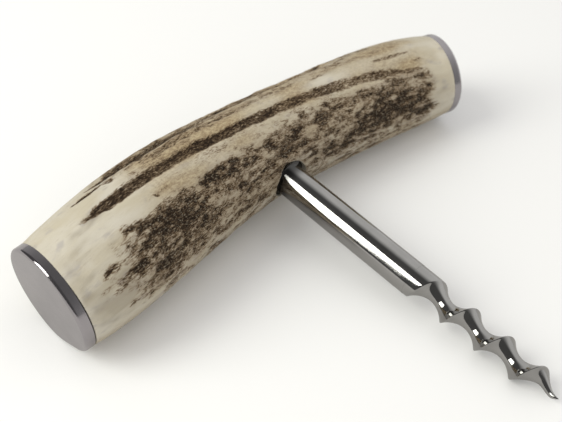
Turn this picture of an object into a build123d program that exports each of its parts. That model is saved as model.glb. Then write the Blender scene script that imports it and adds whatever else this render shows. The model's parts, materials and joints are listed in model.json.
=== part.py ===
from build123d import *
from math import cos, exp, radians, sin, sqrt
import os

# Antler T-handle corkscrew, in millimetres.
# It is drawn on its own axes: X along the handle, -Y down the worm, and the origin where
# the worm's axis crosses the middle of the handle. At the end the whole tool is laid down
# as it rests on a table, with the origin on the table at the centre of its bounding box.

# ---- Handle: one length of antler ----
thick_end = 77.6            # from the worm's axis to the cap's face on the thick end
thin_end = 74.3             # and to the cap's face on the thin end
bend = 1.54e-3              # both ends lean towards the worm, by bend * x^2
bend_skew = 5.0e-6          # and the thin end leans more, by bend_skew * x^3
sway = 0.09e-3              # sideways wander of the middle line, its x^2 part
sway_skew = 8.8e-6          # and its x^3 part
sags = ((-57.0, 22.0, 1.4), (70.0, 25.0, 0.6))  # more lean: place, spread and depth of each
stations = (-1.0, -0.72, -0.4, 0.0, 0.5, 1.0)   # fractions of each arm, thick to thin
station_radii = (15.5, 16.8, 16.5, 15.2, 14.9, 13.1)  # mean radius of the antler at each
thick_end_yaw = -7.0        # degrees that each end is sawn off square
thin_end_yaw = -1.6
egg_bulge = 1.1             # the thick end's section bulges to one side
egg_angle = 30.0            # degrees round the section, from +Y towards +Z
flat_depth = 1.7            # and is worn flat on the other
flat_angle = 240.0
flat_spread = 28.0
outline_points = 20

# ---- End caps, each with a peg and a film of adhesive ----
cap_thickness = 2.8
cap_edge_radius = 0.8
cap_recess_depth = 1.2      # the peg is let into the cap's back
glue_line = 0.35
glue_setback = 0.35         # the squeezed-out line is wiped below the surface
peg_radius = 2.5
peg_depth = 14.0            # length of peg in the antler
peg_clearance = 0.15        # filled with adhesive

# ---- Shank and worm, turned and ground from one bar; distances run down the worm ----
shank_radius = 4.75
shank_end = 61.0
seat = 12.9                 # flat at the bottom of the counterbore in the antler
seat_clearance = 0.2
counterbore_depth = 4.0     # enough to come out through the antler's surface
flange_radius = 5.8
flange_thickness = 0.9
blank_step = 0.05           # the worm's blank is turned this much under the shank
tang_radius = 3.95          # M8 thread, drawn plain
tang_length = 15.0
tang_clearance = 0.05
worm_pitch = 11.3
worm_hand = -1              # -1 is left-handed, +1 is right-handed
first_crest = 68.1          # the first full crest is here, at crest_angle
crest_angle = 42.7          # degrees round the worm, from +X towards +Z
crest_radius = 4.5
root_radius = 1.6
groove_radius = 6.8         # round bottom of the groove, in the axial plane
groove_start = 62.8         # the cutter enters here, on the groove's middle line
groove_full = 66.9          # and is at full depth here
land_start = 66.0           # the blank narrows to the crest's radius between these
land_end = 72.5
taper_start = 99.0
tip = 108.7
tip_scale = 0.03            # the section shrinks to this much at the point
tip_power = 1.3
tip_offset = 0.5            # the point stands off the axis, on the crest's side
tip_offset_share = 0.4      # and the taper reaches that offset this far along
sections_per_turn = 20
groove_points = 13
walk = 4                    # degrees, step of the search for the groove's edges
walk_end = 0.01

# ---- Brass insert that holds the shank in the handle ----
insert_radius = 5.5
insert_length = 16.0
insert_glue = 0.2
insert_glue_end = 0.5

# ---- How the tool lies at rest ----
rest_roll = 2.33            # turn about the worm's axis that levels the handle's underside
rest_droop = 7.33           # tilt that brings the worm down to the table


# ---- Handle and ends ----
def middle(x):
    """Middle of the antler at a distance x along the handle."""
    lean = -bend * x**2 - bend_skew * x**3
    for place, spread, depth in sags:
        lean -= depth * exp(-(((x - place) / spread) ** 2))
    wander = -sway * x**2 + sway_skew * x**3
    return Vector(x, lean, wander)


def direction(x):
    """Direction of the antler's middle line at x."""
    lean = -2 * bend * x - 3 * bend_skew * x**2
    for place, spread, depth in sags:
        steepness = 2 * (x - place) / spread**2
        lean += depth * steepness * exp(-(((x - place) / spread) ** 2))
    wander = -2 * sway * x + 3 * sway_skew * x**2
    return Vector(1, lean, wander).normalized()


def cross_plane(origin, along):
    """Plane across the handle, with its own x axis near +Y and its y axis near +Z."""
    side = Vector(0, 0, 1).cross(along).normalized()
    return Plane(origin=origin, x_dir=side, z_dir=along)


def end_plane(end, depth):
    """Plane of the saw cut at a depth under the cap's face; end is -1 thick, 1 thin."""
    x = -thick_end if end < 0 else thin_end
    yaw = thick_end_yaw if end < 0 else thin_end_yaw
    along = direction(x).rotate(Axis.Z, yaw)
    return cross_plane(middle(x) - along * (end * depth), along)


def antler_radius(fraction, mean_radius, angle):
    """Radius of the antler's section, egg-shaped and worn flat towards the thick end."""
    share = min(fraction, 0.0) ** 2
    bulge = egg_bulge * share * cos(radians(angle - egg_angle))
    flat = flat_depth * share * exp(-(((angle - flat_angle) / flat_spread) ** 2))
    return mean_radius + bulge - flat


def antler_outline(plane, fraction, mean_radius, inset=0.0):
    """Closed outline of the antler on a plane."""
    points = []
    for i in range(outline_points):
        angle = 360.0 * i / outline_points
        radius = antler_radius(fraction, mean_radius, angle) - inset
        across = radius * cos(radians(angle))
        up = radius * sin(radians(angle))
        points.append(plane.from_local_coords(Vector(across, up, 0)))
    return Wire([Edge.make_spline(points, periodic=True)])


def antler_blank():
    """The antler sawn to length, before any hole."""
    outlines = []
    for fraction, radius in zip(stations, station_radii):
        if abs(fraction) == 1.0:
            plane = end_plane(fraction, cap_thickness + glue_line)
        else:
            x = fraction * (thick_end if fraction < 0 else thin_end)
            plane = cross_plane(middle(x), direction(x))
        outlines.append(antler_outline(plane, fraction, radius))
    return Solid.make_loft(outlines)


def end_rod(end, radius, start, stop):
    """Round rod on the axis of an end, between two depths under the cap's face."""
    plane = end_plane(end, start)
    inward = plane.z_dir * -end
    return Solid.make_cylinder(radius, stop - start, Plane(plane.origin, z_dir=inward))


def end_slice(end, start, stop, inset=0.0):
    """Slice with the antler's outline, between two depths under the cap's face."""
    mean_radius = station_radii[0] if end < 0 else station_radii[-1]
    plane = end_plane(end, stop)
    face = Face(antler_outline(plane, end, mean_radius, inset))
    return Solid.extrude(face, plane.z_dir * (end * (stop - start)))


def end_cap(end):
    """Metal cap with a rounded outer edge and a recess for its peg."""
    cap = end_slice(end, 0.0, cap_thickness)
    face = end_plane(end, 0.0)
    rim = min(cap.edges(), key=lambda edge: abs(face.to_local_coords(edge @ 0.5).Z))
    cap = cap.fillet(cap_edge_radius, [rim])
    return cap - end_rod(end, peg_radius, cap_thickness - cap_recess_depth, cap_thickness)


def cap_peg(end):
    """Round peg from the cap's recess into the antler."""
    stop = cap_thickness + glue_line + peg_depth
    return end_rod(end, peg_radius, cap_thickness - cap_recess_depth, stop)


def peg_hole(end):
    """Drilled hole in the antler, a little wider and deeper than its peg."""
    start = cap_thickness + glue_line
    return end_rod(end, peg_radius + peg_clearance, start, start + peg_depth + glue_line)


def cap_glue(end):
    """Adhesive film under the cap, and what fills the hole around the peg."""
    film = end_slice(end, cap_thickness, cap_thickness + glue_line, glue_setback)
    return film + peg_hole(end) - cap_peg(end)


# ---- Shank and worm ----
def down(distance):
    """Plane across the worm at a distance from the handle's middle, facing the tip."""
    return Plane(origin=(0, -distance, 0), x_dir=(1, 0, 0), z_dir=(0, -1, 0))


def worm_rod(radius, start, stop):
    return Solid.make_cylinder(radius, stop - start, down(start))


def crest_direction(distance):
    """Angle of the crest round the worm, in degrees from +X towards +Z."""
    return crest_angle + worm_hand * 360.0 * (distance - first_crest) / worm_pitch


def clamp(value):
    return min(max(value, 0.0), 1.0)


def land_radius(distance):
    """Radius of the blank that the groove is cut in."""
    narrowing = clamp((distance - land_start) / (land_end - land_start))
    blank = shank_radius - blank_step
    return blank + (crest_radius - blank) * narrowing


def cut_radius(distance, offset):
    """Where the groove leaves the section, at an angle offset from the groove's middle."""
    axial = worm_pitch * offset / 360.0
    on_path = distance + worm_hand * axial
    lift = 1.0 - clamp((on_path - groove_start) / (groove_full - groove_start))
    arc_drop = sqrt(groove_radius**2 - axial**2)
    return root_radius + lift * shank_radius + groove_radius - arc_drop


def groove_edge(distance, offset, step):
    """Walk from an offset inside the groove to where it meets the land."""
    land = land_radius(distance)
    while abs(step) > walk_end:
        if cut_radius(distance, offset + step) < land:
            offset += step
        else:
            step /= 2
    return offset


def groove_span(distance):
    """First and last angle offset of the groove in the section, or of where it will open."""
    offsets = range(-180, 181, walk)
    deepest = min(offsets, key=lambda offset: cut_radius(distance, offset))
    if cut_radius(distance, deepest) >= land_radius(distance):
        return deepest - 2 * walk, deepest + 2 * walk
    return groove_edge(distance, deepest, -walk), groove_edge(distance, deepest, walk)


def worm_section(distance):
    """Closed outline of the worm: the groove's curve and the land's arc."""
    point_share = clamp((distance - taper_start) / (tip - taper_start))
    scale = 1.0 - (1.0 - tip_scale) * point_share**tip_power
    shift = tip_offset * clamp(point_share / tip_offset_share)
    crest = radians(crest_direction(distance))
    centre = Vector(shift * cos(crest), -distance, shift * sin(crest))
    land = land_radius(distance)
    first, last = groove_span(distance)

    def at(offset, radius):
        angle = crest + radians(180.0 + offset)
        reach = scale * radius
        return centre + Vector(reach * cos(angle), 0, reach * sin(angle))

    shares = [i / (groove_points - 1) for i in range(groove_points)]
    offsets = [first + (last - first) * share for share in shares]
    curve = [at(offset, min(cut_radius(distance, offset), land)) for offset in offsets]
    curve[0] = at(first, land)
    curve[-1] = at(last, land)
    across_land = at((first + last) / 2 + 180.0, land)
    groove = Edge.make_spline(curve, parameters=shares)
    arc = Edge.make_three_point_arc(curve[-1], across_land, curve[0])
    return Wire([groove, arc])


def worm():
    """Ground worm, from the end of the shank to the point."""
    count = round((tip - shank_end) / worm_pitch * sections_per_turn)
    step = (tip - shank_end) / count
    return Solid.make_loft([worm_section(shank_end + step * i) for i in range(count + 1)])


def shank():
    """Tang, flange and shank, with a hollow fillet from the flange to the shank."""
    fillet = flange_radius - shank_radius
    fillet_end = seat + flange_thickness + fillet
    flange = worm_rod(flange_radius, seat, fillet_end)
    hollow = Solid.make_torus(flange_radius, fillet, down(fillet_end))
    neck = worm_rod(shank_radius, seat, shank_end)
    tang = worm_rod(tang_radius, seat - tang_length, seat)
    return tang + (flange - hollow) + neck


# ---- Insert, its adhesive, and the holes they need ----
def insert_hole():
    """Blind cross hole in the antler for the insert and its adhesive."""
    bottom = seat - insert_length - insert_glue_end
    return worm_rod(insert_radius + insert_glue, bottom, seat)


def counterbore():
    """Flat-bottomed recess that the shank's flange pulls down into."""
    return worm_rod(flange_radius + seat_clearance, seat, seat + counterbore_depth)


def threaded_insert():
    sleeve = worm_rod(insert_radius, seat - insert_length, seat)
    return sleeve - worm_rod(tang_radius + tang_clearance, seat - insert_length, seat)


def build_parts():
    """Every separate piece of the tool, by name, on the tool's own axes."""
    antler = antler_blank() - counterbore() - insert_hole() - peg_hole(-1) - peg_hole(1)
    return {
        "antler_handle": antler,
        "left_end_cap": end_cap(-1),
        "right_end_cap": end_cap(1),
        "left_cap_peg": cap_peg(-1),
        "right_cap_peg": cap_peg(1),
        "left_cap_glue": cap_glue(-1),
        "right_cap_glue": cap_glue(1),
        "corkscrew_worm": shank() + worm(),
        "threaded_insert": threaded_insert(),
        "insert_glue": insert_hole() - worm_rod(insert_radius, seat - insert_length, seat),
    }


def lay_down(pieces):
    """Turn every piece to the resting pose, over the bottom centre of the whole tool."""
    turned = {
        name: piece.rotate(Axis.Y, rest_roll).rotate(Axis.X, rest_droop)
        for name, piece in pieces.items()
    }
    box = Compound(list(turned.values())).bounding_box()
    to_origin = Pos(-box.center().X, -box.center().Y, -box.min.Z)
    return {name: to_origin * piece for name, piece in turned.items()}


os.makedirs("parts", exist_ok=True)
for name, piece in lay_down(build_parts()).items():
    export_step(piece, f"parts/{name}.step")
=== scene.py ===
import json
import math

import bmesh
import bpy
import numpy as np
from mathutils import Euler, Matrix, Vector
from mathutils.bvhtree import BVHTree


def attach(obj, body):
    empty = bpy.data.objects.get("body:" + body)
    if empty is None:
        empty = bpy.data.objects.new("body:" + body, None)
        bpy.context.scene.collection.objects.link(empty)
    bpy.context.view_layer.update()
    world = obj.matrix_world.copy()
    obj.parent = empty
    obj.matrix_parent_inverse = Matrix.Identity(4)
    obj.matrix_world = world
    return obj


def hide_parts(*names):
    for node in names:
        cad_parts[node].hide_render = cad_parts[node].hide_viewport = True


# Looks of the antler corkscrew: the antler's and the worm's own meshes, every piece's material,
# and the studio. Blender's lengths are metres. The antler is worked out in millimetres, with
# places on it given as a distance along the handle from the worm's axis (minus towards the thick
# end) and degrees round it (0 away from the worm, 90 up, 180 on the worm's side, 270 underneath).

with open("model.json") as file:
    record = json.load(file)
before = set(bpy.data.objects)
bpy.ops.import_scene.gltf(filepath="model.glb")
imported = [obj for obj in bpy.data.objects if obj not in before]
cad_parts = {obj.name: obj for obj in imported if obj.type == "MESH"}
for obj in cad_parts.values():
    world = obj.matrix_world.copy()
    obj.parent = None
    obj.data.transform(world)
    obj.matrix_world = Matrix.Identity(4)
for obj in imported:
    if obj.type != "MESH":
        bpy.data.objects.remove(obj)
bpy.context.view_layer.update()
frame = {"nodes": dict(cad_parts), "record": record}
mounts = {mount["name"]: mount for mount in frame["record"]["mounts"]}
shank_radius = mounts["shank"]["dims"]["r_mm"]
shank_half = mounts["shank"]["dims"]["length_mm"] / 2

# ---- Camera ----
camera_place = Vector((-0.16325, -0.11004, 0.19940))
camera_azimuth = -48.65
camera_elevation = 42.28
camera_roll = 4.01
camera_lens = 64.06
camera_clip = (0.01, 20.0)
camera_f_stop = 28.0
camera_focus = 0.258            # distance to the sharpest plane

# ---- Studio ----
softbox_azimuth = -60.0         # degrees from +Y towards +X
softbox_elevation = 36.0
softbox_distance = 1.0
softbox_size = (0.50, 0.80)
softbox_power = 7.0
softbox_colour = (1.0, 1.0, 0.93)
fill_low = 0.42                 # soft fill: dimmest, and brightest from above the camera
fill_high = 0.95
fill_from = (-0.15, -0.40, 0.90)
fill_edge = -0.3                # cosine of the angle to fill_from where it gets dimmest
backdrop = 0.93
backdrop_colour = (1.0, 0.99, 0.97)
room_dark = 0.09                # what polished metal sees: a dark room with one grey wall
room_wall = 0.70
room_wall_edge = 0.60
floor_size = 6.0
floor_pale = (0.8600, 0.8600, 0.8600)
floor_mottled = (0.8428, 0.8428, 0.8385)
floor_in_metal = (0.4988, 0.4888, 0.4788)   # the floor as polished metal sees it

# ---- Antler mesh, in mm and degrees ----
millimetre = 0.001
rings = 400
ring_points = 240
cast_points = 72                # rays cast round each ring to read the CAD surface
cast_from = 40.0
bow_rings = 24                  # rings, passes and end weight used to find the middle line
bow_rings_skipped = 2           # the rings this near each end aren't used
bow_passes = 3
bow_end_weight = 4
ring_waves = 6                  # the surface is kept as this many waves round the ring
wave_damping = 0.02
ring_blur = 1.5                 # blur of the surface along the handle
square_length = 18.0            # the rings turn square to the sawn end over this length
end_inset = 0.05
end_fade = 3.0                  # the surface stays flush with the cap this near the ends
lip_width = 0.4                 # a thin rim of antler closes up to the cap
lip_reach = 0.33
gap_angle = 172.0               # except round the thick end's open glue line
gap_spread = 55.0
gap_sharpness = 4
counterbore_clearance = 0.2
counterbore_height = 12.0
unread_margin = 1.0             # the CAD surface isn't read this near the counterbore
insert_hole_overlap = 1.0
peg_hole_clearance = 0.15
cutter_sides = 96
mean_radius = 15.0
sharp_antler_edge = 62.0

# ---- Shank and worm mesh, in mm; worm distances run from the end of the plain shank ----
worm_points = 160
worm_step = 0.15
tang_radius = 3.95
blank_step = 0.05               # the worm's blank is turned this much under the shank
worm_pitch = 11.3
worm_hand = -1                  # -1 is left-handed
first_crest = 7.1               # the first full crest is here, at crest_angle
crest_angle = 40.4              # degrees round the worm, from level +X towards up
crest_radius = 4.5
root_radius = 1.6
groove_radius = 6.8             # round bottom of the groove, in the axial plane
groove_start = 1.8              # the cutter enters here, and is at full depth at groove_full
groove_full = 5.9
land_start = 5.0                # the blank narrows to the crest's radius between these
land_end = 11.5
edge_rounding = 0.15            # how far ground edges are blended
taper_start = 38.0
tip_scale = 0.03                # the section shrinks to this much at the point
tip_power = 1.3
tip_offset = 0.5                # the point stands off the axis, on the crest's side
tip_offset_share = 0.4          # and the taper reaches that offset this far along
fillet_points = 8
sharp_worm_edge = 40.0

# ---- Marks on the antler, in mm and degrees; darkness runs from 0 to 1 ----
# Furrows: start, stop, angle, turn, curve, half width, darkness. The first three are on top.
furrows = (
    (-63.5, 56.0, 82.2, 0.09, 0.0014, 1.7, 0.88),
    (-54.0, -14.0, 50.0, 0.03, 0.0, 1.6, 0.95),
    (-20.0, 24.0, 50.5, 0.02, 0.0, 1.6, 0.6),
    (-48.0, 52.0, 11.7, -0.06, 0.0, 1.6, 0.9),
    (-62.0, 22.0, 330.7, 0.12, 0.0, 1.8, 0.95),
    (-10.0, 62.0, 300.7, -0.10, 0.0, 1.5, 0.85),
    (-56.0, -4.0, 257.7, 0.15, 0.0, 1.6, 0.9),
    (8.0, 60.0, 223.7, 0.05, 0.0, 1.2, 0.8),
)
scratches = (
    (-60.0, -50.5, 54.5, 0.55, 0.0, 0.55, 0.95),
    (44.0, 60.0, 88.0, 0.0, 0.0, 0.65, 0.5),
    (50.0, 63.0, 112.0, 0.3, 0.0, 0.7, 0.6),
    (-6.0, 9.0, 145.0, 0.0, 0.0, 0.6, 0.8),
)
# Patches of bark: place, angle, half length, half width, darkness.
patches = (
    (-63.5, 148.0, 5.0, 1.9, 0.75),
    (-54.0, 157.0, 5.0, 2.2, 0.35),
    (-58.0, 136.0, 3.0, 0.8, 0.9),
    (-66.5, 135.0, 1.4, 0.6, 0.9),
    (-61.5, 127.5, 1.2, 0.5, 0.9),
    (-57.0, 121.0, 2.8, 1.9, 0.6),
    (-47.0, 133.0, 9.0, 3.0, 0.42),
    (-40.0, 143.0, 7.0, 2.0, 0.35),
    (-34.0, 157.0, 5.0, 1.5, 0.3),
    (-29.5, 126.0, 4.0, 1.5, 0.5),
    (-22.5, 130.0, 5.5, 1.9, 0.6),
    (-15.0, 134.0, 4.0, 1.3, 0.5),
    (-7.0, 129.5, 2.6, 1.3, 0.55),
    (-15.0, 150.0, 9.0, 1.4, 0.35),
    (-14.0, 162.0, 6.0, 1.6, 0.35),
    (6.0, 133.0, 2.0, 1.0, 0.5),
    (8.0, 160.0, 1.8, 0.8, 0.5),
    (17.0, 162.0, 2.4, 0.9, 0.5),
    (18.0, 128.0, 3.6, 1.2, 0.5),
    (18.0, 173.0, 9.0, 1.3, 0.4),
    (35.0, 164.0, 9.0, 5.0, 0.50),
    (48.0, 162.0, 13.0, 4.6, 0.45),
    (61.0, 175.0, 5.0, 1.3, 0.7),
    (39.0, 142.0, 12.0, 3.2, 0.25),
    (-46.0, 112.0, 1.9, 0.45, 0.8),
    (-42.0, 109.5, 2.8, 0.4, 0.7),
    (-53.0, 192.0, 3.5, 4.5, 0.35),
    (-50.5, 66.0, 1.7, 0.7, 0.9),
    (-44.0, 70.0, 1.6, 1.0, 0.5),
    (-37.0, 63.0, 2.4, 1.0, 0.75),
    (-14.0, 74.5, 3.2, 0.9, 0.45),
    (24.0, 83.0, 4.0, 0.8, 0.35),
    (61.5, 107.0, 2.2, 0.8, 0.5),
)
# Faint stains on the smooth antler: place, angle, half length, half width, darkness.
stains = (
    (-69.0, 165.0, 4.0, 3.5, 0.9),
    (-64.0, 172.0, 6.0, 3.0, 0.7),
    (-68.0, 105.0, 3.5, 1.8, 0.5),
    (-66.0, 148.0, 4.0, 3.0, 0.7),
    (-72.0, 130.0, 2.0, 6.0, 0.4),
    (-62.5, 88.0, 4.5, 1.8, 0.7),
    (-30.0, 58.0, 22.0, 3.2, 0.8),
    (4.0, 62.0, 24.0, 2.6, 0.7),
    (30.0, 80.0, 12.0, 2.0, 0.6),
    (-10.0, 75.0, 10.0, 1.6, 0.6),
    (45.0, 55.0, 16.0, 4.0, 0.5),
    (52.0, 112.0, 9.0, 3.0, 0.6),
    (66.0, 160.0, 4.0, 4.0, 0.6),
)
# Where the bark is left on: start, stop, low and high angle, darkness.
bark_regions = (
    (-62.0, 62.0, 117.0, 179.0, 0.50),
    (-46.0, 30.0, 99.0, 117.0, 0.10),
    (-46.0, 62.0, 56.0, 76.0, 0.14),
    (-50.0, 50.0, 38.0, 58.0, 0.30),
    (-52.0, 62.0, 179.0, 208.0, 0.27),
    (-44.0, 58.0, 260.0, 326.0, 0.46),
    (-30.0, 40.0, 341.0, 396.0, 0.38),
)
# Where the smooth antler is freckled brown: the same, with how much.
tanned_regions = (
    (-46.0, 48.0, 36.0, 76.0, 0.11),
    (-50.0, 62.0, 94.0, 116.0, 0.02),
    (-40.0, 40.0, 314.0, 368.0, 0.08),
)
# Where it is tan rather than cream: the same.
warm_regions = (
    (-46.0, 62.0, 34.0, 118.0, 1.0),
    (-20.0, 52.0, 118.0, 146.0, 0.5),
    (-40.0, 40.0, 314.0, 368.0, 0.9),
)
# Furrows and scratches are streaks. Each end narrows over so many half widths, to a power.
streak_start = (6.0, 0.4)
streak_stop = (8.0, 0.5)
streak_edge = 0.55              # softness of the sides, in half widths
streak_least = 0.01             # nothing is left of a streak once it is narrower than this
blotch_power = 1.3
blotch_turn = -4.3              # all patches and stains are turned this much round the handle
# How far each region fades at its start, at its stop and at its sides.
bark_fade = (14.0, 9.0, 3.0)
tanned_fade = (16.0, 14.0, 4.0)
warm_fade = (22.0, 14.0, 8.0)
# Random layers: seed, strength, and a patch's length and width.
along_wander = ((1, 0.7, 2.5, 1.2), (2, 0.45, 0.7, 0.5))
round_wander = ((3, 1.3, 5.0, 1.6), (4, 1.1, 0.7, 0.35))
streak_wander = ((13, 0.5, 7.0, 3.0), (14, 0.35, 0.8, 0.35))
mottle_grain = ((5, 0.75, 1.5, 0.42), (6, 0.75, 0.6, 0.26), (7, 0.30, 4.0, 0.8))
bark_lumps = ((8, 0.12, 1.8, 0.7),)
surface_waves = ((9, 0.035, 9.0, 0.45), (10, 0.16, 14.0, 5.0))
warm_grain = ((11, 0.22, 5.0, 1.6),)
weathered_grain = ((12, 0.10, 6.0, 0.8),)
stain_grain = ((15, 0.5, 1.5, 0.6),)
tanned_grain = ((16, 1.1, 4.0, 0.9),)
# Depths of the carving, and how far it is softened along the handle and round it.
furrow_depth = 0.95
furrow_blur = (0.5, 0.45)
scratch_depth = 0.35
scratch_blur = (0.4, 0.3)
pit_depth = 0.50
pit_blur = (0.3, 0.3)
pit_from = 0.35                 # bark darker than this is pitted
pit_range = 0.5
# How dark the marks come out, and how much of the mottle each kind takes.
furrow_mottle = 0.09
furrow_mottled_from = 0.2
furrow_fading = 0.30            # furrows are this much paler towards the thin end
furrow_fade_start = -10.0
furrow_fade_length = 60.0
furrow_halo = 0.22              # a furrow darkens the antler beside it
halo_blur = (2.0, 0.9)
bark_mottle = 0.22
patch_tone = 0.90
patch_mottle = 0.25
tanned_mottle = 0.7
darkest_tone = 1.1
# How dark the bark is where it is fully mottled, fully lumpy, and wholly bark in colour.
mottle_full = 0.35
lumps_full = 0.3
bark_full = 0.4
warm_strength = 0.75
weathered_gain = 1.5
weathered_blur = (4.0, 2.0)
# The lower side is painted darker in the weathered colour, as painted shade from the light above.
shaded_underside = (186.0, 330.0, 8.0)  # low and high angle of the underside that is painted darker as shade, and its fade
underside_painted_shade = 0.7

# ---- Colours ----
cream = ((0.500, 0.450, 0.345), (0.555, 0.515, 0.430))
lilac = (0.34, 0.315, 0.31)
stain_brown = (0.20, 0.165, 0.12)
tan = ((0.27, 0.195, 0.108), (0.46, 0.375, 0.235))
# stone is the weathered antler's colour, and also the painted shade on the underside
stone = ((0.275, 0.210, 0.130), (0.43, 0.365, 0.255))
bark_ground = (0.250, 0.190, 0.118)
freckle_brown = (0.16, 0.11, 0.062)
fibre_brown = (0.30, 0.235, 0.155)
bark_brown = ((0.150, 0.098, 0.055), (0.225, 0.162, 0.100))
bark_dark = (0.048, 0.030, 0.017)
bark_darkest = (0.016, 0.010, 0.006)
pearl = (0.46, 0.40, 0.30)
cap_tint = (0.490, 0.466, 0.486)
worm_tint = (0.47, 0.465, 0.455)
epoxy_shades = ((0.010, 0.009, 0.008), (0.045, 0.036, 0.028))
brass_shades = ((0.56, 0.38, 0.14), (0.72, 0.53, 0.24))

# ---- Material detail ----
# Noise in the antler's colours: length along the handle and width in mm, detail, roughness.
antler_noise = {
    "cloud": (12.0, 6.0, 3.0, 0.55),
    "bloom": (5.0, 3.0, 2.0, 0.55),
    "fibre": (4.0, 0.45, 3.0, 0.6),
    "fine": (1.1, 0.6, 3.0, 0.65),
    "speck": (1.0, 0.30, 3.0, 0.7),
    "freckle": (0.5, 0.22, 2.0, 0.8),
    "pearl": (0.6, 0.3, 2.0, 0.7),
}
# Sizes of the noises in the other materials along X, Y and Z, and heights of the bumps, in m.
cap_lines = (0.0006, 0.00012, 0.0009)
peg_lines = (0.0002, 0.0012, 0.0012)
worm_lines = (0.0012, 0.00006, 0.0012)
smudges = (0.007, 0.009, 0.006)
epoxy_dust = (0.0004, 0.0004, 0.0004)
brass_rings = (0.004, 0.0002, 0.004)
floor_patches = (0.5, 0.5, 0.5)
fibre_bump = 0.00012
grit_bump = 0.00022
steel_bump = 0.0000016
epoxy_bump = 0.00006
brass_bump = 0.00002
cap_haze = 0.075                # least roughness, where there is no smudge
peg_haze = 0.22
worm_haze = 0.045
smudged_haze = 2.2              # smudges are rougher by this factor
line_haze = 0.02
# Painted shade on the shank's foot: how far it reaches, and how dark it gets.
foot_shade_length = 0.006             # painted shade: the shank's foot darkens over this length, where the antler shades it
foot_shade_tone = 0.22
# how much of the stone colour shows, on weathered antler and as painted shade on the underside
weathered_and_shaded_share = 0.7
# Ramps: where a value starts and stops to count, and what it becomes there, else 0 and 1.
cream_ramp = (0.35, 0.65)
lilac_ramp = (0.56, 0.72, 0.0, 0.5)
tan_ramp = (0.34, 0.66)
stone_ramp = (0.35, 0.65)
ground_ramp = (0.30, 0.62, 0.80, 0.25)
freckle_ramp = (0.54, 0.70, 0.0, 0.6)
fibre_ramp = (0.58, 0.78, 0.0, 0.4)
speckle_ramp = (0.05, 0.4, 0.6, 3.2)
brown_ramp = (0.12, 0.46, 0.0, 0.92)
dark_ramp = (0.42, 0.90)
darkest_ramp = (0.85, 1.25)
pearl_ramp = (0.56, 0.68, 0.0, 0.55)
grit_ramp = (0.0, 0.5, 0.12, 1.0)
antler_roughness = (0.1, 0.8, 0.40, 0.66)
antler_shine = (0.1, 0.7, 0.3, 0.08)
steel_tone = (0.3, 0.7, 0.93, 1.05)
smudge_ramp = (0.40, 0.75)
epoxy_ramp = (0.4, 0.7)
epoxy_roughness = (0.3, 0.7, 0.28, 0.5)
brass_ramp = (0.3, 0.7)
brass_roughness = (0.3, 0.7, 0.25, 0.4)


def smooth(value):
    """Smooth step from 0 to 1 as value goes from 0 to 1."""
    value = np.clip(value, 0.0, 1.0)
    return value * value * (3.0 - 2.0 * value)


def unit(vector):
    return vector / np.linalg.norm(vector)


def signed(angle):
    """An angle in degrees as its equal from -180 to 180."""
    return (angle + 180.0) % 360.0 - 180.0


def add_object(name, data):
    """New object in the scene."""
    piece = bpy.data.objects.new(name, data)
    bpy.context.scene.collection.objects.link(piece)
    return piece


# ---- The handle's frame, read from the CAD ----
def mount_axis(name):
    """A mount's place in mm, and its direction."""
    mount = mounts[name]
    return np.array(mount["pos_m"]) / millimetre, unit(np.array(mount["axis"]))


def span(node, place, axis):
    """Where a CAD node starts and stops along an axis, and its reach from the axis, in mm."""
    points = np.array([v.co for v in frame["nodes"][node].data.vertices]) / millimetre - place
    along = points @ axis
    reach = np.linalg.norm(points - np.outer(along, axis), axis=1)
    return along.min(), along.max(), reach.max()


thick_face, thick_out = mount_axis("thick_end_face")
thin_face, thin_out = mount_axis("thin_end_face")
shank_place, worm_axis = mount_axis("shank")
thick_cut = thick_face - thick_out * span("antler_handle", thick_face, -thick_out)[0]
thin_cut = thin_face - thin_out * span("antler_handle", thin_face, -thin_out)[0]
chord = unit(thin_face - thick_face)
beside_worm = unit(chord - worm_axis * (chord @ worm_axis))
worm_at = (shank_place - thick_face) @ beside_worm / (chord @ beside_worm)
first_ring = (thick_cut - thick_face) @ chord - worm_at
last_ring = (thin_cut - thick_face) @ chord - worm_at
counterbore_radius = span("corkscrew_worm", shank_place, worm_axis)[2] + counterbore_clearance

ring_places = np.linspace(first_ring, last_ring, rings)
ring_angles = np.arange(ring_points) * 360.0 / ring_points
ring_step = (last_ring - first_ring) / (rings - 1)
round_step = 2.0 * math.pi * mean_radius / ring_points
cast_angles = np.radians(np.arange(cast_points) * 360.0 / cast_points)
cubic = np.arange(4)


def cad_surface(name):
    """A CAD node's surface in mm, for casting rays on."""
    mesh = frame["nodes"][name].data
    points = [v.co / millimetre for v in mesh.vertices]
    return BVHTree.FromPolygons(points, [face.vertices[:] for face in mesh.polygons])


def ring_directions(along):
    """Directions away from the worm, and up, in the plane of a ring."""
    away = unit(along * (worm_axis @ along) - worm_axis)
    return away, np.cross(along, away)


def cast_ring(surface, centre, away, up):
    """Distance from a ring's centre to the CAD surface at each angle; nan in the counterbore."""
    reaches = []
    for angle in cast_angles:
        outward = away * math.cos(angle) + up * math.sin(angle)
        hit = surface.ray_cast(Vector(centre + outward * cast_from), Vector(-outward))[0]
        beside = np.array(hit) - shank_place
        beside -= worm_axis * (beside @ worm_axis)
        near_hole = np.linalg.norm(beside) < counterbore_radius + unread_margin
        if near_hole and outward @ worm_axis > 0:
            reaches.append(np.nan)
        else:
            reaches.append((np.array(hit) - centre) @ outward)
    return np.array(reaches)


def wave_terms(angles):
    """The waves round a ring that its radius is a sum of, one column each."""
    turns = [np.ones_like(angles)]
    for wave in range(1, ring_waves + 1):
        turns += [np.cos(wave * angles), np.sin(wave * angles)]
    return np.stack(turns, axis=1)


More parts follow.
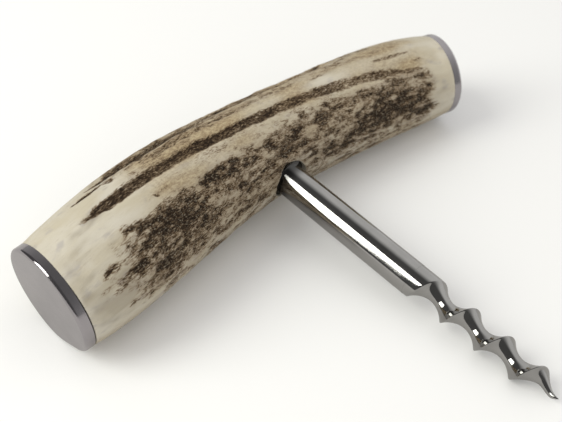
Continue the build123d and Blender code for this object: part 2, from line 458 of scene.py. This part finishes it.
def fit_waves(reach):
    """Waves that fit a ring's radius at the cast angles, carried smoothly across any gap."""
    known = ~np.isnan(reach)
    damping = np.repeat(np.arange(1, ring_waves + 1) ** 2, 2) * wave_damping
    left = np.vstack([wave_terms(cast_angles[known]), np.diag(np.concatenate([[0.0], damping]))])
    right = np.concatenate([reach[known], np.zeros(2 * ring_waves + 1)])
    return np.linalg.lstsq(left, right, rcond=None)[0]


def chord_point(place):
    return thick_face + chord * (place + worm_at)


def find_bow(surface):
    """How far the antler's middle line stands off the chord, as a cubic along it."""
    away, up = ring_directions(chord)
    bow = np.zeros((len(cubic), 3))
    inner_rings = slice(bow_rings_skipped, -bow_rings_skipped)
    for _ in range(bow_passes):
        known = [(first_ring, thick_cut), (last_ring, thin_cut)] * bow_end_weight
        for place in np.linspace(first_ring, last_ring, bow_rings)[inner_rings]:
            centre = chord_point(place) + place**cubic @ bow
            waves = fit_waves(cast_ring(surface, centre, away, up))
            known.append((place, centre + away * waves[1] + up * waves[2]))
        powers = np.array([place**cubic for place, _ in known])
        offsets = np.array([point - chord_point(place) for place, point in known])
        bow = np.linalg.lstsq(powers, offsets, rcond=None)[0]
    return bow


def blur_along(rows):
    """Rows of numbers blurred along the handle, with the ends held."""
    reach = round(3 * ring_blur / ring_step)
    weights = np.exp(-0.5 * (np.arange(-reach, reach + 1) * ring_step / ring_blur) ** 2)
    padded = np.pad(rows, ((reach, reach), (0, 0)), mode="reflect", reflect_type="odd")
    columns = [np.convolve(column, weights / weights.sum(), "valid") for column in padded.T]
    return np.array(columns).T


def read_handle():
    """Every ring's centre, and the outward direction and smooth CAD radius at its points."""
    surface = cad_surface("antler_handle")
    bow = find_bow(surface)
    centres, aways, ups, waves = [], [], [], []
    for place in ring_places:
        centre = chord_point(place) + place**cubic @ bow
        slope = cubic[1:] * place ** cubic[:-1] @ bow[1:]
        along = unit(chord + slope)
        to_thick = smooth(1.0 - (place - first_ring) / square_length)
        to_thin = smooth(1.0 - (last_ring - place) / square_length)
        along = unit(along + (-thick_out - along) * to_thick + (thin_out - along) * to_thin)
        away, up = ring_directions(along)
        inset = along * end_inset * (to_thick - to_thin)
        centres.append(centre)
        aways.append(away)
        ups.append(up)
        waves.append(fit_waves(cast_ring(surface, centre + inset, away, up)))
    turns = np.radians(ring_angles)
    outward = np.array(aways)[:, None] * np.cos(turns)[:, None]
    outward += np.array(ups)[:, None] * np.sin(turns)[:, None]
    radius = blur_along(np.array(waves)) @ wave_terms(turns).T
    return np.array(centres), outward, radius


# ---- Fields on the antler: one number at every ring point ----
def blur(field, length, width):
    """A field blurred by so many mm along the handle and round it."""
    along = np.fft.fftfreq(rings, ring_step)[:, None]
    around = np.fft.rfftfreq(ring_points, round_step)[None, :]
    keep = np.exp(-2.0 * math.pi**2 * ((along * length) ** 2 + (around * width) ** 2))
    return np.fft.irfft2(np.fft.rfft2(field) * keep, s=field.shape)


def grain(seed, length, width):
    """Random field with patches of a length and width in mm; its spread is 1."""
    white = np.random.default_rng(seed).standard_normal((rings, ring_points))
    field = blur(white, length, width)
    return field / field.std()


def grains(layers):
    """Random layers added up."""
    return sum(strength * grain(seed, *size) for seed, strength, *size in layers)


# Marks on the antler are drawn on slightly wandering grids, so that none is regular.
along_grid = ring_places[:, None] + grains(along_wander)
round_grid = ring_angles[None, :] + grains(round_wander)
streak_grid = ring_angles[None, :] + grains(streak_wander)


def across(angle, grid):
    """Distance round the handle from an angle, in mm."""
    return np.radians(signed(grid - angle)) * mean_radius


def streak(start, stop, angle, turn, curve, half_width, amount):
    """Furrow from start to stop; turn and curve are its angle's drift per mm and mm squared."""
    past = np.clip(along_grid - start, 0.0, stop - start)
    ends = smooth((along_grid - start) / (streak_start[0] * half_width)) ** streak_start[1]
    ends *= smooth((stop - along_grid) / (streak_stop[0] * half_width)) ** streak_stop[1]
    off = np.abs(across(angle + turn * past + curve * past**2, streak_grid)) / half_width
    return amount * smooth((ends - off) / streak_edge + 0.5) * (ends > streak_least)


def streaks(marks):
    return np.max([streak(*mark) for mark in marks], axis=0)


def blotch(place, angle, half_length, half_width, amount):
    """Soft oval patch."""
    off = ((along_grid - place) / half_length) ** 2
    off = off + (across(angle + blotch_turn, round_grid) / half_width) ** 2
    return amount * np.exp(-(off**blotch_power))


def blotches(marks):
    return np.sum([blotch(*mark) for mark in marks], axis=0)


def between(low, high, soft):
    """1 between two angles, fading over a distance of soft mm at each."""
    width = math.radians(high - low) * mean_radius
    off = across((low + high) / 2, round_grid)
    return smooth((width / 2 - np.abs(off)) / soft + 0.5)


def stretch(start, stop, soft_start, soft_stop):
    """1 between two places along the handle, fading over its own length at each."""
    rise = smooth((along_grid - start) / soft_start + 0.5)
    return rise * smooth((stop - along_grid) / soft_stop + 0.5)


def regions(areas, soft_start, soft_stop, soft_side):
    """Field with an amount in each area, fading out at its edges."""
    field = np.zeros((rings, ring_points))
    for start, stop, low, high, amount in areas:
        inside = stretch(start, stop, soft_start, soft_stop) * between(low, high, soft_side)
        field = np.maximum(field, amount * inside)
    return field


def bark_tone(bark, furrow, mottle):
    """How dark the bark, its patches and the tanned antler are."""
    tanned = regions(tanned_regions, *tanned_fade)
    tone = bark + blotches(patches) * (patch_tone + patch_mottle * mottle)
    tone += bark_mottle * mottle * smooth(bark / mottle_full)
    tone += tanned * (1.0 + grains(tanned_grain) + tanned_mottle * mottle)
    tone += furrow_halo * blur(furrow, *halo_blur)
    return np.clip(tone, 0.0, darkest_tone)


def carving(furrow, scratch, bark, tone):
    """How far the surface stands over the smooth CAD surface, in mm."""
    height = -furrow_depth * blur(furrow, *furrow_blur)
    height -= scratch_depth * blur(scratch, *scratch_blur)
    height -= pit_depth * blur(smooth((tone - pit_from) / pit_range), *pit_blur)
    height += smooth(bark / lumps_full) * grains(bark_lumps)
    return height + grains(surface_waves)


def antler_fields():
    """Height in mm, and the fields that the antler's material reads, by name."""
    furrow = streaks(furrows)
    furrow *= 1.0 - furrow_fading * smooth((along_grid - furrow_fade_start) / furrow_fade_length)
    scratch = streaks(scratches)
    bark = regions(bark_regions, *bark_fade)
    mottle = grains(mottle_grain)
    tone = bark_tone(bark, furrow, mottle)
    mottled_furrow = furrow + furrow_mottle * mottle * (furrow > furrow_mottled_from)
    warm = regions(warm_regions, *warm_fade) * (warm_strength + grains(warm_grain))
    weathered_and_shaded = blur(bark, *weathered_blur) * weathered_gain + grains(weathered_grain)
    # painted shade: the underside takes the weathered colour, darker than the cream
    weathered_and_shaded = np.maximum(weathered_and_shaded, underside_painted_shade * between(*shaded_underside))
    stain = blotches(stains) * (1.0 + grains(stain_grain))
    fields = {
        "dark": np.maximum(np.maximum(mottled_furrow, scratch), tone),
        "bark": smooth(bark / bark_full),
        "warm": smooth(warm),
        "weathered_and_shaded": smooth(weathered_and_shaded),
        "stain": np.clip(stain, 0.0, 1.0),
    }
    return carving(furrow, scratch, bark, tone), fields


# ---- Building the antler ----
def skin_mesh(name, loops, start, stop):
    """Closed smooth mesh from a point start, through equal loops, to a point stop, all in mm."""
    count = len(loops[0])
    last = (len(loops) - 1) * count
    faces = []
    for point in range(count):
        after = (point + 1) % count
        for low in range(0, last, count):
            high = low + count
            faces.append((low + point, low + after, high + after, high + point))
        faces.append((last + count, after, point))
        faces.append((last + count + 1, last + point, last + after))
    mesh = bpy.data.meshes.new(name)
    points = np.vstack([*loops, start, stop]) * millimetre
    mesh.from_pydata(points, [], faces, shade_flat=False)
    return mesh


def end_loops(skin, outward):
    """The antler's loops of points, with two at each sawn end: its rim, and one inside it."""
    closed = 1.0 - np.exp(-((signed(ring_angles - gap_angle) / gap_spread) ** gap_sharpness))
    thick_rim = skin[0] + np.outer(closed * lip_reach, thick_out)
    thin_rim = skin[-1] + thin_out * lip_reach
    inside = skin - outward * lip_width
    return [inside[0], thick_rim, *skin, thin_rim, inside[-1]]


def with_ends(field):
    """A field's values in the order of the mesh's points, with those of the sawn ends."""
    loops = np.concatenate([field[[0, 0]], field, field[[-1, -1]]])
    middles = field[[0, -1]].mean(axis=1)
    return np.concatenate([loops.ravel(), middles.ravel()]).astype(np.float32)


def antler_mesh():
    """The antler's skin and sawn ends, before its holes, with the fields as attributes."""
    centres, outward, radius = read_handle()
    height, fields = antler_fields()
    from_end = np.minimum(ring_places - first_ring, last_ring - ring_places)
    reach = radius + height * smooth(from_end / end_fade)[:, None]
    skin = centres[:, None] + reach[..., None] * outward
    skin[..., 2] = np.maximum(skin[..., 2], 0.0)
    mesh = skin_mesh("antler", end_loops(skin, outward), centres[0], centres[-1])
    turns = np.radians(ring_angles)
    along = np.broadcast_to(ring_places[:, None], reach.shape)
    straight = np.stack([along, reach * np.cos(turns), reach * np.sin(turns)], axis=-1)
    for name, field in fields.items():
        attribute = mesh.attributes.new(name, "FLOAT", "POINT")
        attribute.data.foreach_set("value", with_ends(field))
    attribute = mesh.attributes.new("straight", "FLOAT_VECTOR", "POINT")
    attribute.data.foreach_set("vector", with_ends(straight))
    return mesh


def cutter(radius, start, axis, length):
    """Round cutter for a hole, from a start along an axis, in mm."""
    mesh = bpy.data.meshes.new("cutter")
    builder = bmesh.new()
    bmesh.ops.create_cone(
        builder,
        cap_ends=True,
        segments=cutter_sides,
        radius1=radius * millimetre,
        radius2=radius * millimetre,
        depth=length * millimetre,
    )
    turn = Vector(axis).to_track_quat("Z", "Y").to_matrix().to_4x4()
    middle = (start + axis * length / 2) * millimetre
    builder.transform(Matrix.Translation(Vector(middle)) @ turn)
    builder.to_mesh(mesh)
    builder.free()
    return add_object("cutter", mesh)


def hole_cutters():
    """Cutters for the insert's hole, the counterbore and the two peg holes."""
    start, seat, radius = span("insert_glue", shank_place, worm_axis)
    insert_start = shank_place + worm_axis * start
    seat_place = shank_place + worm_axis * seat
    cutters = [
        cutter(radius, insert_start, worm_axis, seat - start + insert_hole_overlap),
        cutter(counterbore_radius, seat_place, worm_axis, counterbore_height),
    ]
    for side, face, out in (("left", thick_face, thick_out), ("right", thin_face, thin_out)):
        start, stop, _ = span(side + "_cap_glue", face, -out)
        radius = span(side + "_cap_peg", face, -out)[2] + peg_hole_clearance
        cutters.append(cutter(radius, face - out * start, -out, stop - start))
    return cutters


def stand_for(piece, node, material):
    """Show a piece, in its material, in place of a CAD node."""
    piece.data.materials.clear()
    piece.data.materials.append(material)
    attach(piece, "root")
    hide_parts(node)


def make_antler():
    antler = add_object("carved_antler", antler_mesh())
    cutters = hole_cutters()
    for piece in cutters:
        cut = antler.modifiers.new("hole", "BOOLEAN")
        cut.operation = "DIFFERENCE"
        cut.solver = "MANIFOLD"
        cut.object = piece
    shapes = bpy.context.evaluated_depsgraph_get()
    holed = bpy.data.meshes.new_from_object(antler.evaluated_get(shapes))
    antler.modifiers.clear()
    antler.data = holed
    for piece in cutters:
        bpy.data.objects.remove(piece)
    holed.set_sharp_from_angle(angle=math.radians(sharp_antler_edge))
    stand_for(antler, "antler_handle", antler_material())


# ---- Building the shank and worm ----
def round_min(first, second):
    """The lower of two radii, with the corner where they cross rounded."""
    return 0.5 * (first + second - np.sqrt((first - second) ** 2 + edge_rounding**2))


def cut_radius(distance, offset):
    """Where the groove leaves the worm, at an angle offset from the groove's middle."""
    axial = worm_pitch * offset / 360.0
    on_path = distance + worm_hand * axial
    lift = 1.0 - np.clip((on_path - groove_start) / (groove_full - groove_start), 0.0, 1.0)
    arc_drop = np.sqrt(np.maximum(groove_radius**2 - axial**2, 0.0))
    return root_radius + lift * shank_radius + groove_radius - arc_drop


def worm_crest(distance):
    """Angle of the worm's crest, in degrees."""
    return crest_angle + worm_hand * 360.0 * (distance - first_crest) / worm_pitch


def worm_ring(distance, length, offsets):
    """Radii round a ring of the worm, and how far the ring stands off the axis."""
    narrowing = np.clip((distance - land_start) / (land_end - land_start), 0.0, 1.0)
    blank = shank_radius - blank_step
    land = blank + (crest_radius - blank) * narrowing
    turns = (-360.0, 0.0, 360.0)    # the groove here, and a turn to each side
    cut = np.min([cut_radius(distance, offsets + turn) for turn in turns], axis=0)
    share = np.clip((distance - taper_start) / (length - taper_start), 0.0, 1.0)
    scale = 1.0 - (1.0 - tip_scale) * share**tip_power
    shift = tip_offset * min(share / tip_offset_share, 1.0)
    return scale * round_min(cut, land), shift


def shank_outline(flange_radius, tang_end, seat):
    """Places and radii down the tang, flange, fillet and shank."""
    fillet = flange_radius - shank_radius
    outline = [(tang_end, tang_radius), (seat, tang_radius), (seat, flange_radius)]
    for turn in np.linspace(0.0, math.pi / 2, fillet_points):
        place = -shank_half - fillet * math.cos(turn)
        outline.append((place, flange_radius - fillet * math.sin(turn)))
    return outline + [(shank_half, shank_radius)]


def worm_loop(offsets, place, crest, radius, shift):
    """Points round the worm's axis; shift moves them towards the crest."""
    level = np.array([1.0, 0.0, 0.0])
    above = np.cross(worm_axis, level)
    turns = np.radians(crest + 180.0 + offsets)
    lean = math.radians(crest)
    beside = radius * np.cos(turns) + shift * math.cos(lean)
    up = radius * np.sin(turns) + shift * math.sin(lean)
    return shank_place + worm_axis * place + np.outer(beside, level) + np.outer(up, above)


def worm_mesh():
    """The tang, flange, shank and worm as one skin of rings down the worm's axis."""
    tang_end, tip, flange_radius = span("corkscrew_worm", shank_place, worm_axis)
    seat = span("insert_glue", shank_place, worm_axis)[1]
    length = tip - shank_half
    offsets = np.linspace(-180.0, 180.0, worm_points, endpoint=False)
    loops = []
    for place, radius in shank_outline(flange_radius, tang_end, seat):
        loops.append(worm_loop(offsets, place, worm_crest(0.0), radius, 0.0))
    for distance in np.linspace(0.0, length, round(length / worm_step)):
        radii, shift = worm_ring(distance, length, offsets)
        place = shank_half + distance
        loops.append(worm_loop(offsets, place, worm_crest(distance), radii, shift))
    mesh = skin_mesh("worm", loops, loops[0].mean(axis=0), loops[-1].mean(axis=0))
    mesh.set_sharp_from_angle(angle=math.radians(sharp_worm_edge))
    return mesh


def make_worm():
    worm = add_object("shank_and_worm", worm_mesh())
    foot = shank_place - worm_axis * shank_half
    # the shank's foot, where its painted shade starts along Y
    steel = steel_material("worm steel", worm_tint, worm_lines, worm_haze, foot[1] * millimetre)
    stand_for(worm, "corkscrew_worm", steel)


# ---- Materials ----
class Recipe:
    """The nodes of a material or world in the making; its methods give back outputs.

    A value is another node's output, a number, or a colour or place of three numbers.
    """

    def __init__(self, owner):
        owner.use_nodes = True
        self.tree = owner.node_tree

    def add(self, kind, inputs, output=0, **settings):
        """A new node, with its inputs in order or by name."""
        node = self.tree.nodes.new("ShaderNode" + kind)
        for name, value in settings.items():
            setattr(node, name, value)
        named = inputs if isinstance(inputs, dict) else dict(enumerate(inputs))
        for name, value in named.items():
            self.put(node.inputs[name], value)
        return node.outputs[output]

    def put(self, socket, value):
        if isinstance(value, bpy.types.NodeSocket):
            self.tree.links.new(value, socket)
        elif socket.type == "RGBA":
            socket.default_value = (*value, 1.0)
        else:
            socket.default_value = value

    def finish(self, shader, **inputs):
        """Set the inputs of the shader that is already there."""
        for name, value in inputs.items():
            self.put(self.tree.nodes[shader].inputs[name.replace("_", " ")], value)

    def attribute(self, name, output="Fac"):
        return self.add("Attribute", {}, output, attribute_name=name)

    def place(self):
        return self.add("TexCoord", {}, "Object")

    def noise(self, places, sizes, detail=2.0, roughness=0.55):
        """Noise whose patches have a size along each axis, in the units of the places."""
        scaled = [places, [1.0 / size for size in sizes]]
        spots = {"Vector": self.add("VectorMath", scaled, operation="MULTIPLY"), "Scale": 1.0}
        spots.update({"Detail": detail, "Roughness": roughness})
        return self.add("TexNoise", spots, "Fac")

    def math(self, operation, first, second):
        return self.add("Math", [first, second], operation=operation)

    def times(self, first, second):
        return self.math("MULTIPLY", first, second)

    def ramp(self, value, low, high, to_low=0.0, to_high=1.0):
        """Smooth step from to_low to to_high as a value goes from low to high."""
        steps = [value, low, high, to_low, to_high]
        return self.add("MapRange", steps, interpolation_type="SMOOTHSTEP")

    def blend(self, share, first, second, kind="RGBA"):
        """Colour, or other kind of value, from first to second as share goes from 0 to 1."""
        values = {"Factor": share, "A": first, "B": second}
        return self.add("Mix", values, "Result", data_type=kind)

    def bump(self, height, distance, under=None):
        inputs = {"Height": height, "Distance": distance, "Strength": 1.0}
        if under is not None:
            inputs["Normal"] = under
        return self.add("Bump", inputs)


def antler_noises(recipe):
    """The noises of the antler's colours by name, laid along the straightened antler."""
    places = recipe.attribute("straight", "Vector")
    noises = {}
    for name, (length, width, detail, roughness) in antler_noise.items():
        noises[name] = recipe.noise(places, (length, width, width), detail, roughness)
    return noises


def smooth_antler(recipe, noise):
    """Colour of the antler without its bark: cream, stained, tan in places, weathered in others,
    and darker on the underside as painted shade.
    """
    colour = recipe.blend(recipe.ramp(noise["cloud"], *cream_ramp), *cream)
    colour = recipe.blend(recipe.ramp(noise["bloom"], *lilac_ramp), colour, lilac)
    stained = recipe.times(recipe.attribute("stain"), noise["cloud"])
    colour = recipe.blend(stained, colour, stain_brown)
    tanned = recipe.blend(recipe.ramp(noise["fine"], *tan_ramp), *tan)
    colour = recipe.blend(recipe.attribute("warm"), colour, tanned)
    # the stone colour, on weathered antler and as painted shade on the underside
    weathered_and_shaded = recipe.blend(recipe.ramp(noise["fibre"], *stone_ramp), *stone)
    share = recipe.times(recipe.attribute("weathered_and_shaded"), weathered_and_shaded_share)
    return recipe.blend(share, colour, weathered_and_shaded)


def flecked_antler(recipe, noise, colour):
    """The antler's colour with the ground of the bark, freckles and darker fibres on it."""
    ground = recipe.ramp(noise["fine"], *ground_ramp)
    colour = recipe.blend(recipe.times(recipe.attribute("bark"), ground), colour, bark_ground)
    freckles = recipe.ramp(noise["freckle"], *freckle_ramp)
    freckled = recipe.times(freckles, recipe.attribute("warm"))
    colour = recipe.blend(freckled, colour, freckle_brown)
    return recipe.blend(recipe.ramp(noise["fibre"], *fibre_ramp), colour, fibre_brown)


def barked_antler(recipe, noise, colour, tone):
    """The antler's colour with its dark marks on it, and pearly specks in the bark."""
    brown = recipe.blend(recipe.ramp(noise["fine"], *tan_ramp), *bark_brown)
    colour = recipe.blend(recipe.ramp(tone, *brown_ramp), colour, brown)
    colour = recipe.blend(recipe.ramp(tone, *dark_ramp), colour, bark_dark)
    colour = recipe.blend(recipe.ramp(tone, *darkest_ramp), colour, bark_darkest)
    pearls = recipe.ramp(noise["pearl"], *pearl_ramp)
    return recipe.blend(recipe.times(pearls, recipe.attribute("bark")), colour, pearl)


def antler_material():
    """Cream antler with tan, weathered and dark brown areas, all broken up by fine grain, and
    painted shade on its underside.
    """
    material = bpy.data.materials.new("antler")
    recipe = Recipe(material)
    noise = antler_noises(recipe)
    dark = recipe.attribute("dark")
    speckle = recipe.math("SUBTRACT", noise["speck"], 0.5)
    speckle = recipe.times(speckle, recipe.ramp(dark, *speckle_ramp))
    tone = recipe.math("ADD", dark, speckle)
    colour = smooth_antler(recipe, noise)
    colour = flecked_antler(recipe, noise, colour)
    colour = barked_antler(recipe, noise, colour, tone)
    grit = recipe.times(noise["speck"], recipe.ramp(dark, *grit_ramp))
    relief = recipe.bump(noise["fibre"], fibre_bump, recipe.bump(grit, grit_bump))
    rough = recipe.ramp(tone, *antler_roughness)
    recipe.finish("Principled BSDF", Base_Color=colour, Roughness=rough, Normal=relief)
    recipe.finish("Principled BSDF", Specular_IOR_Level=recipe.ramp(tone, *antler_shine))
    return material


def steel_material(name, tint, lines, haze, painted_shade_from=None):
    """Polished steel with fine polishing lines, smudges, and haze as its least roughness.

    Past the given place along Y, in m, it is darkened with painted shade, the antler's shadow on
    the shank's foot.
    """
    material = bpy.data.materials.new(name)
    recipe = Recipe(material)
    places = recipe.place()
    marks = recipe.noise(places, lines, 2.0, 0.5)
    smudge = recipe.noise(places, smudges, 3.0)
    tone = recipe.ramp(smudge, *steel_tone)
    # painted shade: the shank's foot is darkened where the antler shades it
    if painted_shade_from is not None:
        along = recipe.add("SeparateXYZ", [places], "Y")
        painted_foot_shade = recipe.ramp(along, painted_shade_from - foot_shade_length, painted_shade_from)
        tone = recipe.times(tone, recipe.ramp(painted_foot_shade, 0.0, 1.0, 1.0, foot_shade_tone))
    shade = recipe.add("VectorMath", {"Vector": tint, "Scale": tone}, operation="SCALE")
    smudged = recipe.ramp(smudge, *smudge_ramp, haze, haze * smudged_haze)
    rough = recipe.math("ADD", smudged, recipe.times(marks, line_haze))
    recipe.finish("Principled BSDF", Base_Color=shade, Metallic=1.0, Roughness=rough)
    recipe.finish("Principled BSDF", Normal=recipe.bump(marks, steel_bump))
    return material


def epoxy_material():
    """Dark adhesive with a dusty, slightly rough skin."""
    material = bpy.data.materials.new("dark epoxy")
    recipe = Recipe(material)
    dust = recipe.noise(recipe.place(), epoxy_dust, 3.0)
    shade = recipe.blend(recipe.ramp(dust, *epoxy_ramp), *epoxy_shades)
    rough = recipe.ramp(dust, *epoxy_roughness)
    recipe.finish("Principled BSDF", Base_Color=shade, Roughness=rough)
    recipe.finish("Principled BSDF", Normal=recipe.bump(dust, epoxy_bump))
    return material


def brass_material():
    """Turned brass, with rings cut round it."""
    material = bpy.data.materials.new("insert brass")
    recipe = Recipe(material)
    turned = recipe.noise(recipe.place(), brass_rings, 2.0)
    shade = recipe.blend(recipe.ramp(turned, *brass_ramp), *brass_shades)
    rough = recipe.ramp(turned, *brass_roughness)
    recipe.finish("Principled BSDF", Base_Color=shade, Metallic=1.0, Roughness=rough)
    recipe.finish("Principled BSDF", Normal=recipe.bump(turned, brass_bump))
    return material


def floor_material():
    """Pale matt floor, which polished metal sees darker than the camera does."""
    material = bpy.data.materials.new("floor")
    recipe = Recipe(material)
    mottle = recipe.noise(recipe.place(), floor_patches, 2.0)
    shade = recipe.blend(mottle, floor_pale, floor_mottled)
    in_metal = recipe.add("LightPath", {}, "Is Glossy Ray")
    shade = recipe.blend(in_metal, shade, floor_in_metal)
    recipe.finish("Principled BSDF", Base_Color=shade, Roughness=0.8, Specular_IOR_Level=0.1)
    return material


def finish_cad_pieces():
    """Give every CAD node that isn't replaced its own material."""
    cap = steel_material("cap steel", cap_tint, cap_lines, cap_haze)
    peg = steel_material("peg steel", worm_tint, peg_lines, peg_haze)
    epoxy = epoxy_material()
    finishes = {
        "left_end_cap": cap,
        "right_end_cap": cap,
        "left_cap_peg": peg,
        "right_cap_peg": peg,
        "left_cap_glue": epoxy,
        "right_cap_glue": epoxy,
        "insert_glue": epoxy,
        "threaded_insert": brass_material(),
    }
    for node, material in finishes.items():
        mesh = frame["nodes"][node].data
        mesh.materials.clear()
        mesh.materials.append(material)


# ---- Building the studio ----
def make_camera():
    data = bpy.data.cameras.new("camera")
    data.lens = camera_lens
    data.clip_start, data.clip_end = camera_clip
    tilt = (math.radians(90.0 - camera_elevation), 0.0, math.radians(camera_azimuth))
    roll = Matrix.Rotation(math.radians(camera_roll), 3, "Z")
    turn = Euler(tilt).to_matrix() @ roll
    camera = add_object("camera", data)
    camera.matrix_world = Matrix.Translation(camera_place) @ turn.to_4x4()
    bpy.context.scene.camera = camera
    focus = add_object("focus", None)
    focus.location = camera_place + turn @ Vector((0.0, 0.0, -camera_focus))
    data.dof.use_dof = True
    data.dof.focus_object = focus
    data.dof.aperture_fstop = camera_f_stop


def make_floor():
    half = floor_size / 2
    corners = [(-half, -half, 0.0), (half, -half, 0.0), (half, half, 0.0), (-half, half, 0.0)]
    mesh = bpy.data.meshes.new("floor")
    mesh.from_pydata(corners, [], [(0, 1, 2, 3)])
    mesh.materials.append(floor_material())
    add_object("floor", mesh)


def toward(azimuth, elevation):
    """Direction at an azimuth from +Y towards +X, and an elevation, in degrees."""
    azimuth = math.radians(azimuth)
    elevation = math.radians(elevation)
    level = math.cos(elevation)
    return Vector((level * math.sin(azimuth), level * math.cos(azimuth), math.sin(elevation)))


def make_softbox():
    light = bpy.data.lights.new("softbox", "AREA")
    light.shape = "RECTANGLE"
    light.size, light.size_y = softbox_size
    light.energy = softbox_power
    light.color = softbox_colour
    lamp = add_object("softbox", light)
    lamp.location = toward(softbox_azimuth, softbox_elevation) * softbox_distance
    lamp.rotation_euler = lamp.location.to_track_quat("Z", "Y").to_euler()


def make_world():
    """Pale backdrop for the camera, a dim room for reflections, soft fill for the rest."""
    world = bpy.data.worlds.new("world")
    bpy.context.scene.world = world
    recipe = Recipe(world)
    direction = recipe.add("TexCoord", {}, "Generated")
    sideways = recipe.add("SeparateXYZ", [direction], "X")
    room = recipe.ramp(sideways, 0.0, room_wall_edge, room_dark, room_wall)
    facing = recipe.add("VectorMath", [direction, fill_from], "Value", operation="DOT_PRODUCT")
    level = recipe.ramp(facing, fill_edge, 1.0, fill_low, fill_high)
    for rays, seen in (("Is Glossy Ray", room), ("Is Camera Ray", backdrop)):
        level = recipe.blend(recipe.add("LightPath", {}, rays), level, seen, "FLOAT")
    recipe.finish("Background", Color=backdrop_colour, Strength=level)


bpy.context.scene.view_settings.view_transform = "Standard"
make_camera()
make_floor()
make_softbox()
make_world()
make_antler()
make_worm()
finish_cad_pieces()
